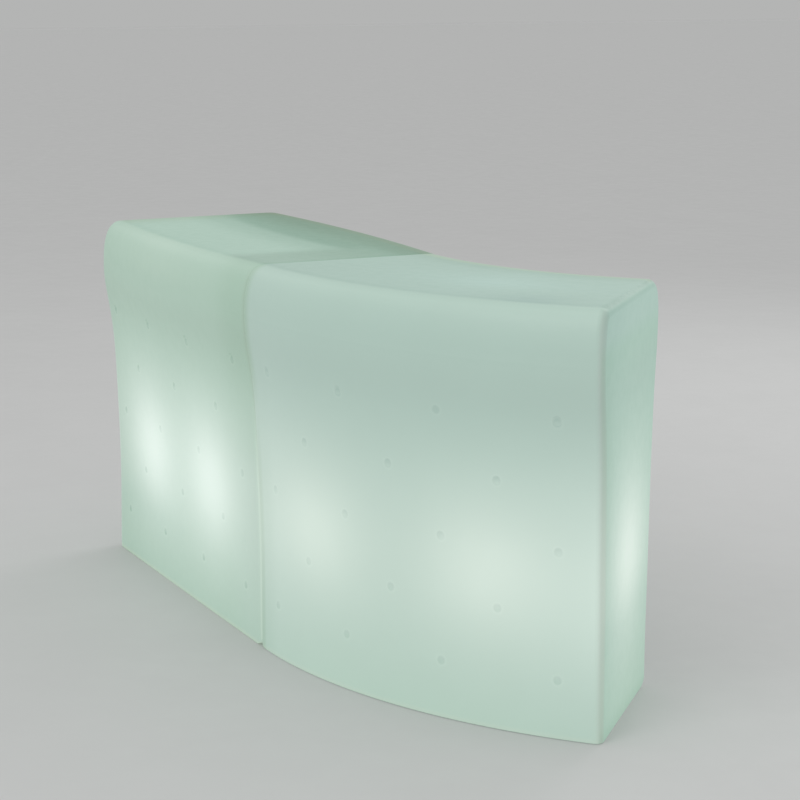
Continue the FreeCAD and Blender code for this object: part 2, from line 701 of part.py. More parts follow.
def lampholder(x):
    """A lampholder: a plinth and a round body with the cup for the lamp's cap."""
    base = Vector(x, LAMP_Y, LAMP_BAR_Z)
    body = rod(HOLDER_RADIUS, base, UP, HOLDER_TOP - LAMP_BAR_Z)
    foot = rod(HOLDER_RADIUS + 6.0, base, UP, 6.0)
    cup = rod(CAP_RADIUS + 0.1, base + UP * (HOLDER_TOP - LAMP_BAR_Z - CAP_HEIGHT), UP, CAP_HEIGHT + 1.0)
    return join([body, foot]).cut(cup)


def lamp_cap(x):
    """The metal cap of a lamp, with its centre contact and a rolled groove."""
    base = Vector(x, LAMP_Y, HOLDER_TOP - CAP_HEIGHT + 0.3)
    cap = rod(CAP_RADIUS, base, UP, CAP_HEIGHT - 0.3)
    groove = rod(CAP_RADIUS + 1.0, base + UP * 12.0, UP, 3.0).cut(
        rod(CAP_RADIUS - 1.0, base + UP * 12.0, UP, 3.0))
    return cap.cut(groove)


def lamp_tube(x):
    """The opal tube of a lamp, domed at the top and hollow."""
    length = TUBE_TOP - HOLDER_TOP
    tubes = []
    for inset in (0.0, TUBE_WALL):
        base = Vector(x, LAMP_Y, HOLDER_TOP + inset)
        tube = rod(TUBE_RADIUS - inset, base, UP, length - 2.0 * inset)
        top = [edge for edge in tube.Edges if edge.BoundBox.ZMin > HOLDER_TOP + 0.5 * length
               and edge.BoundBox.ZLength < 1.0]
        tubes.append(tube.makeFillet(TUBE_RADIUS - inset - TUBE_FLAT, top))
    mouth = rod(CAP_RADIUS - 2.0, Vector(x, LAMP_Y, HOLDER_TOP - 1.0), UP, TUBE_WALL + 2.0)
    return tubes[0].cut([tubes[1], mouth])


def junction_box(inlet_x):
    """The open box in which the leads meet."""
    side = math.copysign(1.0, inlet_x)
    outer = box(-BOX_HALF, BOX_HALF, BOX_FRONT, BOX_BACK, LAMP_BAR_Z, BOX_TOP)
    inner = box(-BOX_HALF + BOX_WALL, BOX_HALF - BOX_WALL, BOX_FRONT + BOX_WALL, BOX_BACK - BOX_WALL,
                LAMP_BAR_Z + BOX_WALL, BOX_TOP + 1.0)
    entries = [rod(LEAD_RADIUS + SCREW_PLAY, Vector(-BOX_HALF - 1.0, LAMP_Y, LEAD_Z), RIGHT,
                   2.0 * BOX_HALF + 2.0),
               rod(LEAD_RADIUS + SCREW_PLAY, Vector(side * (BOX_HALF - BOX_WALL - 1.0), MAINS_LEAD_Y, LEAD_Z),
                   RIGHT * side, 5.0)]
    return outer.cut([inner] + entries)


def box_lid():
    """The lid of the junction box, with a lip that drops inside."""
    lid = box(-BOX_HALF, BOX_HALF, BOX_FRONT, BOX_BACK, BOX_TOP, BOX_TOP + LID_THICK)
    uprights = [edge for edge in lid.Edges if edge.BoundBox.ZLength > LID_THICK - 0.5]
    lid = lid.makeFillet(3.0, uprights)
    inset = BOX_WALL + 0.2
    lip = box(-BOX_HALF + inset, BOX_HALF - inset, BOX_FRONT + inset, BOX_BACK - inset,
              BOX_TOP - 3.0, BOX_TOP)
    inset = inset + 1.5
    hollow = box(-BOX_HALF + inset, BOX_HALF - inset, BOX_FRONT + inset, BOX_BACK - inset,
                 BOX_TOP - 4.0, BOX_TOP)
    return join([lid, lip]).cut(hollow)


def lead(path):
    """A round lead along a path of edges."""
    wire = Part.Wire(path)
    start = wire.Edges[0]
    way = start.tangentAt(start.FirstParameter)
    ring = Part.Wire(Part.makeCircle(LEAD_RADIUS, start.valueAt(start.FirstParameter), way))
    return wire.makePipeShell([ring], True, False)


def leads(inlet_x):
    """The leads from the junction box to both lampholders and from the inlet to the box."""
    result = []
    start = BOX_HALF - BOX_WALL
    quarter = 0.25 * (LAMP_SPREAD - HOLDER_RADIUS - LEAD_END_GAP - start)
    radius = (quarter ** 2 + (0.5 * LEAD_SAG) ** 2) / LEAD_SAG
    half_turn = 0.5 * math.asin(quarter / radius)
    reach = radius * math.sin(half_turn)
    fall = radius * (1.0 - math.cos(half_turn))
    route = [(0.0, 0.0), (reach, fall), (quarter, 0.5 * LEAD_SAG), (2.0 * quarter, LEAD_SAG),
             (3.0 * quarter, 0.5 * LEAD_SAG), (4.0 * quarter - reach, fall), (4.0 * quarter, 0.0)]
    for side in (-1.0, 1.0):
        points = [Vector(side * (start + along), LAMP_Y, LEAD_Z - down) for along, down in route]
        result.append(lead([Part.Arc(*points[first:first + 3]).toShape() for first in (0, 2, 4)]))
    side = math.copysign(1.0, inlet_x)
    inlet_end = Vector(inlet_x, POCKET_BACK - INLET_DEEP - 0.1, LEAD_Z)
    turn_start = Vector(inlet_x, MAINS_LEAD_Y + LEAD_BEND, LEAD_Z)
    turn_end = Vector(inlet_x - side * LEAD_BEND, MAINS_LEAD_Y, LEAD_Z)
    slant = LEAD_BEND * (1.0 - math.sqrt(0.5))
    turn_middle = Vector(inlet_x - side * slant, MAINS_LEAD_Y + slant, LEAD_Z)
    box_end = Vector(side * (BOX_HALF - BOX_WALL), MAINS_LEAD_Y, LEAD_Z)
    turn = Part.Arc(turn_start, turn_middle, turn_end).toShape()
    result.append(lead([Part.makeLine(inlet_end, turn_start), turn, Part.makeLine(turn_end, box_end)]))
    return result


# ---- mains inlet and switch ----

def inlet(inlet_x):
    """The snap-in mains inlet: flange, body, socket recess and the window of the switch."""
    rear = POCKET_BACK + INLET_FLANGE_THICK
    flange = rounded_plate(inlet_x - INLET_FLANGE_HALF, inlet_x + INLET_FLANGE_HALF,
                           INLET_Z - INLET_FLANGE_TALL, INLET_Z + INLET_FLANGE_TALL, POCKET_BACK, rear, 3.0)
    body = box(inlet_x - INLET_HALF, inlet_x + INLET_HALF, POCKET_BACK - INLET_DEEP, POCKET_BACK + 1.0,
               INLET_Z - INLET_TALL, INLET_Z + INLET_TALL)
    socket = rounded_plate(inlet_x - SOCKET_HALF, inlet_x + SOCKET_HALF, SOCKET_Z - SOCKET_TALL,
                           SOCKET_Z + SOCKET_TALL, rear - SOCKET_DEEP, rear + 1.0, 3.0)
    window_half = ROCKER_HALF + ROCKER_WINDOW_PLAY
    window_tall = ROCKER_TALL + ROCKER_WINDOW_RISE
    window = box(inlet_x - window_half, inlet_x + window_half, rear - ROCKER_BEND, rear + 1.0,
                 ROCKER_Z - window_tall, ROCKER_Z + window_tall)
    axle = rod(ROCKER_AXLE + SCREW_PLAY, Vector(inlet_x - ROCKER_AXLE_END - 0.3, ROCKER_Y, ROCKER_Z), RIGHT,
               2.0 * ROCKER_AXLE_END + 0.6)
    pins = []
    for x, z in PIN_PLACES:
        pins.append(box(inlet_x + x - PIN_HALF - SCREW_PLAY, inlet_x + x + PIN_HALF + SCREW_PLAY,
                        rear - SOCKET_DEEP - PIN_ROOT, rear,
                        SOCKET_Z + z - PIN_TALL - SCREW_PLAY, SOCKET_Z + z + PIN_TALL + SCREW_PLAY))
    return join([flange, body]).cut([socket, window, axle] + pins)


def inlet_pins(inlet_x):
    """The three contact blades in the socket."""
    floor = POCKET_BACK + INLET_FLANGE_THICK - SOCKET_DEEP
    pins = []
    for x, z in PIN_PLACES:
        pin = box(inlet_x + x - PIN_HALF, inlet_x + x + PIN_HALF, floor - PIN_ROOT, floor + PIN_REACH,
                  SOCKET_Z + z - PIN_TALL, SOCKET_Z + z + PIN_TALL)
        tip = [edge for edge in pin.Edges if edge.BoundBox.YMin > floor + PIN_REACH - 0.1]
        pins.append(pin.makeChamfer(0.5, tip))
    return pins


def rocker(inlet_x):
    """The rocker of the switch, shaped to a shallow V and tilted to its on side."""
    rear = POCKET_BACK + INLET_FLANGE_THICK
    crest = ROCKER_TALL * math.tan(math.radians(ROCKER_TILT))
    left = inlet_x - ROCKER_HALF
    outline = [
        Vector(left, rear - ROCKER_DEEP, ROCKER_Z - ROCKER_TALL + 1.5),
        Vector(left, rear + ROCKER_PROUD, ROCKER_Z - ROCKER_TALL),
        Vector(left, rear + ROCKER_PROUD - crest, ROCKER_Z),
        Vector(left, rear + ROCKER_PROUD, ROCKER_Z + ROCKER_TALL),
        Vector(left, rear - ROCKER_DEEP, ROCKER_Z + ROCKER_TALL - 1.5),
    ]
    outline.append(outline[0])
    body = Part.Face(Part.makePolygon(outline)).extrude(RIGHT * 2.0 * ROCKER_HALF)
    axle = rod(ROCKER_AXLE, Vector(inlet_x - ROCKER_AXLE_END, ROCKER_Y, ROCKER_Z), RIGHT,
               2.0 * ROCKER_AXLE_END)
    rocker_shape = join([body, axle])
    rocker_shape.rotate(Vector(inlet_x, ROCKER_Y, ROCKER_Z), RIGHT, ROCKER_TILT)
    return rocker_shape


# ---- floor pads and joining plates ----

def pad_places(curved):
    """Where the floor pads sit, as placements of their middles."""
    places = []
    for distance in PAD_SPREAD["curved" if curved else "straight"]:
        for depth in PAD_DEPTHS:
            front = along_front(distance, curved)
            places.append(front.multiply(Placement(Vector(0, depth, 0), Rotation())))
    return places


def floor_pad(place):
    """A round pad with a recess for its screw."""
    pad = rod(PAD_RADIUS, Vector(0, 0, 0), UP, PAD_HEIGHT)
    pad = pad.makeChamfer(0.8, [edge for edge in pad.Edges if edge.BoundBox.ZMax < 0.1])
    recess = rod(SCREW_HEAD_RADIUS + 0.3, Vector(0, 0, -1.0), UP, PAD_RECESS + 1.0)
    hole = rod(SCREW_RADIUS + SCREW_PLAY, Vector(0, 0, -1.0), UP, PAD_HEIGHT + 2.0)
    return moved(pad.cut([recess, hole]), place)


def pad_screw(place):
    """The screw of a floor pad."""
    return moved(screw(Vector(0, 0, PAD_RECESS), UP, SCREW_HEAD_RADIUS, PAD_HEAD_HEIGHT, SCREW_RADIUS,
                       PAD_SCREW_REACH), place)


def plate_screw_places():
    """Where the joining plates are screwed up into both bodies."""
    low = PAD_HEIGHT - PLATE_THICK
    return [Vector(x, y + 0.5 * PLATE_WIDTH, low) for y in PLATE_DEPTHS for x in PLATE_SCREW_PLACES]


def joining_plates():
    """The two plates that hold the bodies together under the seam."""
    low = PAD_HEIGHT - PLATE_THICK
    holes = []
    for place in plate_screw_places():
        holes.append(rod(PLATE_HEAD_RADIUS + 0.2, place - UP, UP, PLATE_HEAD_HEIGHT + 1.0))
        holes.append(rod(PLATE_SCREW_RADIUS + SCREW_PLAY, place, UP, PLATE_THICK + 1.0))
    plates = []
    for y in PLATE_DEPTHS:
        plate = box(-0.5 * PLATE_LENGTH, 0.5 * PLATE_LENGTH, y, y + PLATE_WIDTH, low, PAD_HEIGHT)
        uprights = [edge for edge in plate.Edges if edge.BoundBox.ZLength > PLATE_THICK - 0.5]
        plates.append(plate.makeFillet(6.0, uprights).cut(holes))
    return plates


def joining_screws():
    """The flat screws of the joining plates."""
    return [screw(place + UP * PLATE_HEAD_HEIGHT, UP, PLATE_HEAD_RADIUS, PLATE_HEAD_HEIGHT,
                  PLATE_SCREW_RADIUS, PAD_SCREW_REACH) for place in plate_screw_places()]


# ---- the whole counter ----

def body_nodes(name, maker, frame, half, curved):
    """Every piece of one body, by node name, in the counter's frame."""
    to_own = frame.inverse()
    outer = moved(maker(0.0), to_own)
    inner = moved(maker(WALL), to_own)
    rail_places = rail_holes(half)
    leaf_places = hinge_holes()
    screws = [wall_screw(place, way, RAIL_THICK) for place, way in rail_places]
    screws += [wall_screw(place, way, HINGE_WALL_LEAF) for place, way in leaf_places]
    door_screws = [screw(place, -BACK, SCREW_HEAD_RADIUS, SCREW_HEAD_HEIGHT, SCREW_RADIUS,
                         HATCH_THICK + HINGE_DOOR_LEAF) for place in hatch_holes()]
    bar_screws = [screw(Vector(x, POCKET_BACK, LAMP_BAR_SCREW_Z), -BACK, SCREW_HEAD_RADIUS, SCREW_HEAD_HEIGHT,
                        SCREW_RADIUS, WALL + LAMP_BAR_THICK + 2.0) for x in LAMP_BAR_SCREWS]
    magnet_places = [Vector(x, POCKET_BACK, MAGNET_Z) for x in (-MAGNET_X, MAGNET_X)]
    striker_places = [Vector(place.x, DOOR_FRONT, MAGNET_Z) for place in magnet_places]
    lamp_places = (-LAMP_SPREAD, LAMP_SPREAD)
    inlet_x = INLET_X[name]
    pieces = {
        "shell": [shell(outer, inner, half, curved, inlet_x)],
        "lower_shelf": [shelf(half, SHELF_TOPS["lower"], curved)],
        "upper_shelf": [shelf(half, SHELF_TOPS["upper"], curved)],
        "shelf_rails": shelf_rails(half),
        "wall_screws": screws,
        "wall_inserts": [insert(place, way) for place, way in rail_places + leaf_places],
        "hatch": [hatch()],
        "hatch_seal": [hatch_seal()],
        "hinge_wall_leaf": [hinge_wall_leaf()],
        "hinge_door_leaf": [hinge_door_leaf()],
        "hinge_pin": [hinge_pin()],
        "hatch_screws": door_screws,
        "hatch_magnets": [rod(MAGNET_RADIUS, place, -BACK, MAGNET_DEEP) for place in magnet_places],
        "hatch_strikers": [rod(STRIKER_RADIUS, place, -BACK, STRIKER_THICK) for place in striker_places],
        "hatch_pull": [hatch_pull()],
        "lamp_bar": [lamp_bar()],
        "lamp_bar_screws": bar_screws,
        "lampholders": [lampholder(x) for x in lamp_places],
        "lamp_caps": [lamp_cap(x) for x in lamp_places],
        "lamp_tubes": [lamp_tube(x) for x in lamp_places],
        "junction_box": [junction_box(inlet_x)],
        "box_lid": [box_lid()],
        "leads": leads(inlet_x),
        "inlet": [inlet(inlet_x)],
        "inlet_pins": inlet_pins(inlet_x),
        "rocker": [rocker(inlet_x)],
        "floor_pads": [floor_pad(place) for place in pad_places(curved)],
        "pad_screws": [pad_screw(place) for place in pad_places(curved)],
    }
    return {name + "_" + node: [moved(shape, frame) for shape in shapes] for node, shapes in pieces.items()}


def all_nodes():
    """Every piece of the counter, by node name."""
    nodes = body_nodes("straight", straight_body, straight_frame(), STRAIGHT_POCKET_HALF, False)
    nodes.update(body_nodes("curved", curved_body, curved_frame(), CURVED_POCKET_HALF, True))
    hole_depth = PAD_SCREW_REACH + 2.0
    holes = [rod(PLATE_SCREW_RADIUS + SCREW_PLAY, place, UP, hole_depth) for place in plate_screw_places()]
    for name in ("straight_shell", "curved_shell"):
        nodes[name] = [shape.cut(holes) for shape in nodes[name]]
    nodes["joining_plates"] = joining_plates()
    nodes["joining_screws"] = joining_screws()
    return nodes


def export(nodes):
    """Move everything over the origin and write one file per node."""
    bounds = FreeCAD.BoundBox()
    for name in ("straight_shell", "curved_shell"):
        for shape in nodes[name]:
            bounds.add(shape.optimalBoundingBox(False, False))
    shift = Placement(Vector(-bounds.Center.x, -bounds.Center.y, 0), Rotation())
    print("origin at", bounds.Center.x, bounds.Center.y)
    print("size", bounds.XLength, bounds.YLength, bounds.ZMax)
    for name, shapes in nodes.items():
        solids = [solid for shape in shapes for solid in moved(shape, shift).Solids]
        whole = solids[0] if len(solids) == 1 else Part.makeCompound(solids)
        whole.exportStep("parts/" + name + ".step")


export(all_nodes())
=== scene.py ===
import math

import bpy
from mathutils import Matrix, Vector


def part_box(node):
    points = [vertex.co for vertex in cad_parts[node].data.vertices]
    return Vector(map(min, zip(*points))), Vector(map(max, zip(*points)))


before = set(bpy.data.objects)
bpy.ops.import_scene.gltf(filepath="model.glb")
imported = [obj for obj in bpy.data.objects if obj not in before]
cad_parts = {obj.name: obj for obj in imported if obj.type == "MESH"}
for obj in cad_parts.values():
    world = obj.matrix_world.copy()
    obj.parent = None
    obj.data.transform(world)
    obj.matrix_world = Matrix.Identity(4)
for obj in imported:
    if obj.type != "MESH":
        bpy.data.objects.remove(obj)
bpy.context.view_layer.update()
scene = bpy.context.scene
scene.view_settings.view_transform = "Standard"

# ---- camera ----
# It stands to the right of the counter and a little above it, where the curved body's end is nearest,
# and looks along the curved front towards the straight body. Only this much shift is needed to frame it.
eye = Vector((5.5066, -2.6916, 1.9135))
heading = 2.6919
dip = 0.1554
gaze = Vector((math.cos(dip) * math.cos(heading), math.cos(dip) * math.sin(heading), -math.sin(dip)))
lens = bpy.data.cameras.new("lens")
lens.sensor_width = 36.0
lens.lens = 96.891
lens.shift_x = 0.04
lens.shift_y = -0.12
lens.clip_end = 200.0
camera = bpy.data.objects.new("camera", lens)
camera.location = eye
camera.rotation_euler = gaze.to_track_quat("-Z", "Y").to_euler()
scene.collection.objects.link(camera)
scene.camera = camera


# ---- floor and light ----
# A plain pale floor that runs out to a pale sky, and soft light from all round with two wide lamps
# above, at a level where a colour comes out about as it is written.
class Signal:
    """A socket of a material that takes part in sums and products as a number or a colour does."""

    def __init__(self, socket):
        self.socket = socket

    def make(self, kind, settings=None, inputs=None, output=0):
        """A new node of that kind: its settings first, then the values or links of its sockets."""
        tree = self.socket.id_data
        node = tree.nodes.new("ShaderNode" + kind)
        for name, value in (settings or {}).items():
            setattr(node, name, value)
        for name, value in (inputs or {}).items():
            socket = node.inputs[name]
            if isinstance(value, Signal):
                tree.links.new(value.socket, socket)
            elif socket.type == "RGBA":
                socket.default_value = (*value, 1.0)
            else:
                socket.default_value = value
        return Signal(node.outputs[output])

    def maths(self, operation, *values):
        return self.make("Math", {"operation": operation}, dict(enumerate(values)))

    def vector(self, operation, *values, output=0):
        return self.make("VectorMath", {"operation": operation}, dict(enumerate(values)), output)

    def combine(self, operation, left, right):
        """One sum or product, by Vector Math where either side is a colour, a place or a direction.
        A plain number on the other side then counts for all three parts."""
        parts = [left, right]
        threefold = [isinstance(part, tuple) or isinstance(part, Signal) and part.socket.type != "VALUE"
                     for part in parts]
        if not any(threefold):
            return self.maths(operation, *parts)
        return self.vector(operation, *[(part,) * 3 if isinstance(part, float) else part for part in parts])

    def __add__(self, other):
        return self.combine("ADD", self, other)

    __radd__ = __add__

    def __mul__(self, other):
        return self.combine("MULTIPLY", self, other)

    __rmul__ = __mul__

    def __sub__(self, other):
        return self.combine("SUBTRACT", self, other)

    def __rsub__(self, other):
        return self.combine("SUBTRACT", other, self)

    def __truediv__(self, other):
        return self.combine("DIVIDE", self, other)

    def __rtruediv__(self, other):
        return self.combine("DIVIDE", other, self)

    def __neg__(self):
        return 0.0 - self

    def __pow__(self, other):
        return self.maths("POWER", self, other)

    def __abs__(self):
        return self.maths("ABSOLUTE", self)

    def at_least(self, other):
        return self.maths("MAXIMUM", self, other)

    def at_most(self, other):
        return self.maths("MINIMUM", self, other)

    def ramp(self, start, end, low=0.0, high=1.0):
        """A soft step from low, up to start, to high, from end on."""
        return self.make("MapRange", {"interpolation_type": "SMOOTHSTEP"},
                         {"Value": self, "From Min": start, "From Max": end, "To Min": low, "To Max": high})

    def fall(self, start, end):
        """A soft step from 1, up to start, to 0, from end on."""
        return self.ramp(start, end, 1.0, 0.0)

    def bell(self, width):
        """1 where the signal is zero, falling away on both sides over that width."""
        return 1.0 / (1.0 + (abs(self) / width) ** 2.0)

    def axes(self):
        """The three parts of a place or a direction."""
        return [self.make("SeparateXYZ", None, {"Vector": self}, part) for part in range(3)]

    def noise(self, scale, detail=2.0, stretch=(1.0, 1.0, 1.0)):
        """Cloudy noise from 0 to 1 at this place; scale is in features per metre."""
        return self.make("TexNoise", None, {"Vector": self * stretch, "Scale": scale, "Detail": detail})

    def cells(self, scale):
        """How far this place is from the middle of its cell, in a pattern of uneven cells."""
        return self.make("TexVoronoi", None, {"Vector": self, "Scale": scale})

    def between(self, low, high):
        """A colour between two, this signal being the share of the second."""
        return self.make("Mix", {"data_type": "RGBA"}, {0: self, 6: low, 7: high}, 2)


def new_finish(name, settings):
    """A material, its shader with these settings, and the place on the surface as a signal."""
    finish = bpy.data.materials.new(name)
    finish.use_nodes = True
    tree = finish.node_tree
    shader = tree.nodes["Principled BSDF"]
    for socket, value in settings.items():
        shader.inputs[socket].default_value = (*value, 1.0) if isinstance(value, tuple) else value
    place = Signal(tree.nodes.new("ShaderNodeTexCoord").outputs["Object"])
    return finish, shader, place


def feed(shader, socket, signal):
    """Let the signal drive that socket of the shader."""
    signal.socket.id_data.links.new(signal.socket, shader.inputs[socket])


def facing_at(place):
    """The direction in which the surface faces at that place."""
    return place.make("TexCoord", output="Normal")


def relief(height, depth):
    """The normal of a surface with this height over it; depth is in metres at a height of 1."""
    return height.make("Bump", None, {"Height": height, "Distance": depth})


reach = 60.0
corners = [(-reach, -reach, 0.0), (reach, -reach, 0.0), (reach, reach, 0.0), (-reach, reach, 0.0)]
floor_mesh = bpy.data.meshes.new("floor")
floor_mesh.from_pydata(corners, [], [(0, 1, 2, 3)])
floor = bpy.data.objects.new("floor", floor_mesh)
scene.collection.objects.link(floor)
finish, shader, place = new_finish("floor_finish", {"Specular IOR Level": 0.3})
feed(shader, "Base Color", place.noise(2.5, 4.0).between((0.585, 0.59, 0.585), (0.615, 0.62, 0.615)))
feed(shader, "Roughness", place.noise(9.0, 3.0).ramp(0.3, 0.7, 0.5, 0.62))
floor_mesh.materials.append(finish)

world = bpy.data.worlds.new("room")
scene.world = world
world.use_nodes = True
rays = world.node_tree.nodes.new("ShaderNodeLightPath").outputs
seen = [Signal(rays[kind]) for kind in ("Is Camera Ray", "Is Glossy Ray", "Is Transmission Ray")]
sky_light = (0.78, 0.78, 0.78)
sky_seen = (0.456, 0.460, 0.456)
sky = (seen[0] + seen[1] + seen[2]).at_most(1.0).between(sky_light, sky_seen)
world.node_tree.links.new(sky.socket, world.node_tree.nodes["Background"].inputs["Color"])

for name, spot, size, power in (
    ("key_lamp", (2.5, -4.5, 4.5), 3.5, 60.0),
    ("rear_lamp", (-2.5, 4.5, 4.0), 3.0, 45.0),
):
    lamp = bpy.data.lights.new(name, "AREA")
    lamp.shape = "DISK"
    lamp.size = size
    lamp.energy = power
    lamp_object = bpy.data.objects.new(name, lamp)
    lamp_object.location = spot
    lamp_object.rotation_euler = (Vector((0.0, 0.0, 0.5)) - Vector(spot)).to_track_quat("-Z", "Y").to_euler()
    scene.collection.objects.link(lamp_object)


# ---- the two hollow bodies ----
# Each is one hollow moulding of milky polyethylene, 7 mm thick. Two lamps stand inside behind the front wall,
# so the skin glows in front of them. The moulding leaves a satin, slightly uneven surface.
sides = ("straight", "curved")
plates_low, plates_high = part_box("joining_plates")
plates_behind_front = 0.150
seam_x = 0.5 * (plates_low.x + plates_high.x)
front_y = plates_low.y - plates_behind_front
body_height = 1.100
curve_radius = 1.550
curve_angle = math.radians(45.0)
turn = {"straight": 0.0, "curved": 0.5 * curve_angle}
half_length = {"straight": 0.600, "curved": 0.5 * curve_angle * curve_radius}
middle = {
    "straight": (seam_x - half_length["straight"], front_y, 0.0),
    "curved": (seam_x + curve_radius * math.sin(turn["curved"]),
               front_y + curve_radius * (1.0 - math.cos(turn["curved"])), 0.0),
}
lamp_spread = 0.250
lamp_depth = 0.265
lamp_height = 0.425
recess_back = 0.320
front_crease_depth = 0.017
rear_crease_depth = 0.512
front_bow = 0.038
rear_bow = 0.030
bow_middle = -0.016
bow_half_square = 0.3795


def own(side, signal):
    """A direction of the counter as the body's own: along it, in from its front, and up."""
    return signal.make("VectorRotate", {"rotation_type": "Z_AXIS"}, {"Vector": signal, "Angle": -turn[side]})


def own_place(side, place):
    """A place on the counter in the body's own frame."""
    return own(side, place - middle[side])


def cover(finish, *names):
    """Give these nodes a finish."""
    for name in names:
        for material_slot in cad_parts[name].material_slots:
            material_slot.material = finish


def dress(side, finish, *names):
    """Give these nodes of one body a finish."""
    cover(finish, *[side + "_" + name for name in names])


def lamp_light(point, outward, lamps):
    """Light of the lamps on the skin from inside: it falls with the distance and with the slant."""
    total = 0.0
    for lamp in lamps:
        ray = point - lamp
        away = ray.vector("DOT_PRODUCT", ray, outward, output=1).at_least(0.0)
        total = away / ray.vector("LENGTH", ray, output=1) ** 3.0 + total
    return total


def pair(across, depth, height):
    """The places of two lamps, one on either side of the body's middle."""
    return [(-across, depth, height), (across, depth, height)]


def distance(x, y):
    """How far a point with these two parts is from zero."""
    return (x * x + y * y) ** 0.5


# the skin's light, wall by wall: its even glow, its shares of the light that comes straight from the lamps,
# off the ends inside and off the floor inside, and the duller band at the waist
plain_glow = {"straight": (0.163, 0.263, 0.201), "curved": (0.170, 0.240, 0.222),
              "end": (0.143, 0.265, 0.214)}
lamp_share = {"straight": (0.0302, 0.0282, 0.0294), "curved": (0.0135, 0.0125, 0.0116),
              "end": (0.0249, 0.0219, 0.0221)}
off_end_share = {"straight": (0.0172, 0.0084, 0.0125), "curved": (0.0386, 0.0380, 0.0363),
                 "end": (0.0085, 0.0, 0.0)}
off_floor_share = {"straight": (0.0, 0.0, 0.0), "curved": (0.0139, 0.0197, 0.0109),
                   "end": (0.0100, 0.0068, 0.0033)}
waist_shade = {"straight": (0.0, 0.019, 0.009), "curved": (0.001, 0.009, 0.007), "end": (0.003, 0.016, 0.006)}
waist_height = 0.89
brightest_skin = 0.5
brightest_recess = 13.0
spot_softness = 4.0

# what the edges and the dimples take from the light or add to it, body by body
arris_shade = {"straight": (0.0, 0.020, 0.015), "curved": (0.0, 0.045, 0.030)}
brink_shade = {"straight": (0.035, 0.035, 0.035), "curved": (0.052, 0.054, 0.054)}
foot_light = {"straight": (0.036, 0.018, 0.006), "curved": (0.020, 0.006, 0.000)}
lip_light = {"straight": (0.010, -0.005, -0.010), "curved": (0.030, 0.020, -0.005)}
dimple_pitch = 0.328
dimple_row_step = 0.1654
dimple_top_row = 0.816
dimple_radius = 0.011
dimple_rim = 0.015
dimples_bottom = 0.10
dimples_top = 0.86
dimples_end = 0.53
dimple_shade = {"straight": (0.056, 0.056, 0.052), "curved": (0.038, 0.038, 0.035)}


def straight_top(along, depth):
    """Light through the straight top: bright over the lamp chamber, dark over the recess at the rear."""
    border = 0.35 + 0.13 * along * along
    rear = 0.45 * depth.ramp(border - 0.19, border - 0.03)
    rear = rear + 0.55 * depth.ramp(border - 0.05, border + 0.01)
    top = (0.200, 0.285, 0.240) - (0.140, 0.152, 0.148) * rear
    top = top - (0.045, 0.072, 0.068) * depth.ramp(0.35, 0.52)
    by_seam = (0.135, 0.198, 0.162) - (0.045, 0.040, 0.045) * depth.ramp(0.05, 0.40)
    top = (along.ramp(0.34, 0.46) * depth.ramp(0.38, 0.46, 0.9, 0.0)).between(top, by_seam)
    front_left = along.fall(-0.58, -0.35) * depth.fall(0.34, 0.38)
    rear_right = along.ramp(-0.35, 0.30) * depth.ramp(0.38, 0.44)
    top = top - (0.022, 0.030, 0.034) * front_left + (0.016, 0.022, 0.020) * rear_right
    return top - (0.006, 0.024, 0.034) * along.fall(-0.58, -0.42)


def curved_top(along, depth):
    """Light through the curved top: brightest past its middle, and duller along its rear and its end."""
    bright = (along - 0.14).bell(0.24) * (depth - 0.28).bell(0.12)
    dull = (along - 0.383).bell(0.09) * depth.fall(0.05, 0.20)
    top = (0.186, 0.254, 0.229) + (0.036, 0.050, 0.056) * bright - (0.030, 0.035, 0.022) * dull
    top = top - (0.030, 0.036, 0.040) * depth.ramp(0.42, 0.52)
    return top - 0.055 * (half_length["curved"] - along).fall(0.010, 0.034)


def dimples(along, depth, z, facing):
    """1 on the moulded dimples, a little below 0 on their rims; they stand in rows of four and three."""
    rows_down = (dimple_top_row - z) / dimple_row_step
    row = rows_down.maths("ROUND", rows_down)
    up_off = dimple_top_row - row * dimple_row_step - z
    column = along / dimple_pitch + 0.5 - 0.5 * row.maths("PINGPONG", row, 1.0)
    side_off = (column - column.maths("ROUND", column)) * dimple_pitch
    off = distance(side_off, up_off)
    dimple = off.fall(0.75 * dimple_radius, 1.2 * dimple_radius) - 0.35 * (off - dimple_rim).bell(0.002)
    in_rows = z.ramp(dimples_bottom, dimples_bottom + 0.02) * z.fall(dimples_top, dimples_top + 0.02)
    in_columns = abs(along).fall(dimples_end, dimples_end + 0.03)
    return dimple * in_rows * in_columns * facing.ramp(0.3, 0.5) * depth.fall(0.02, 0.05)


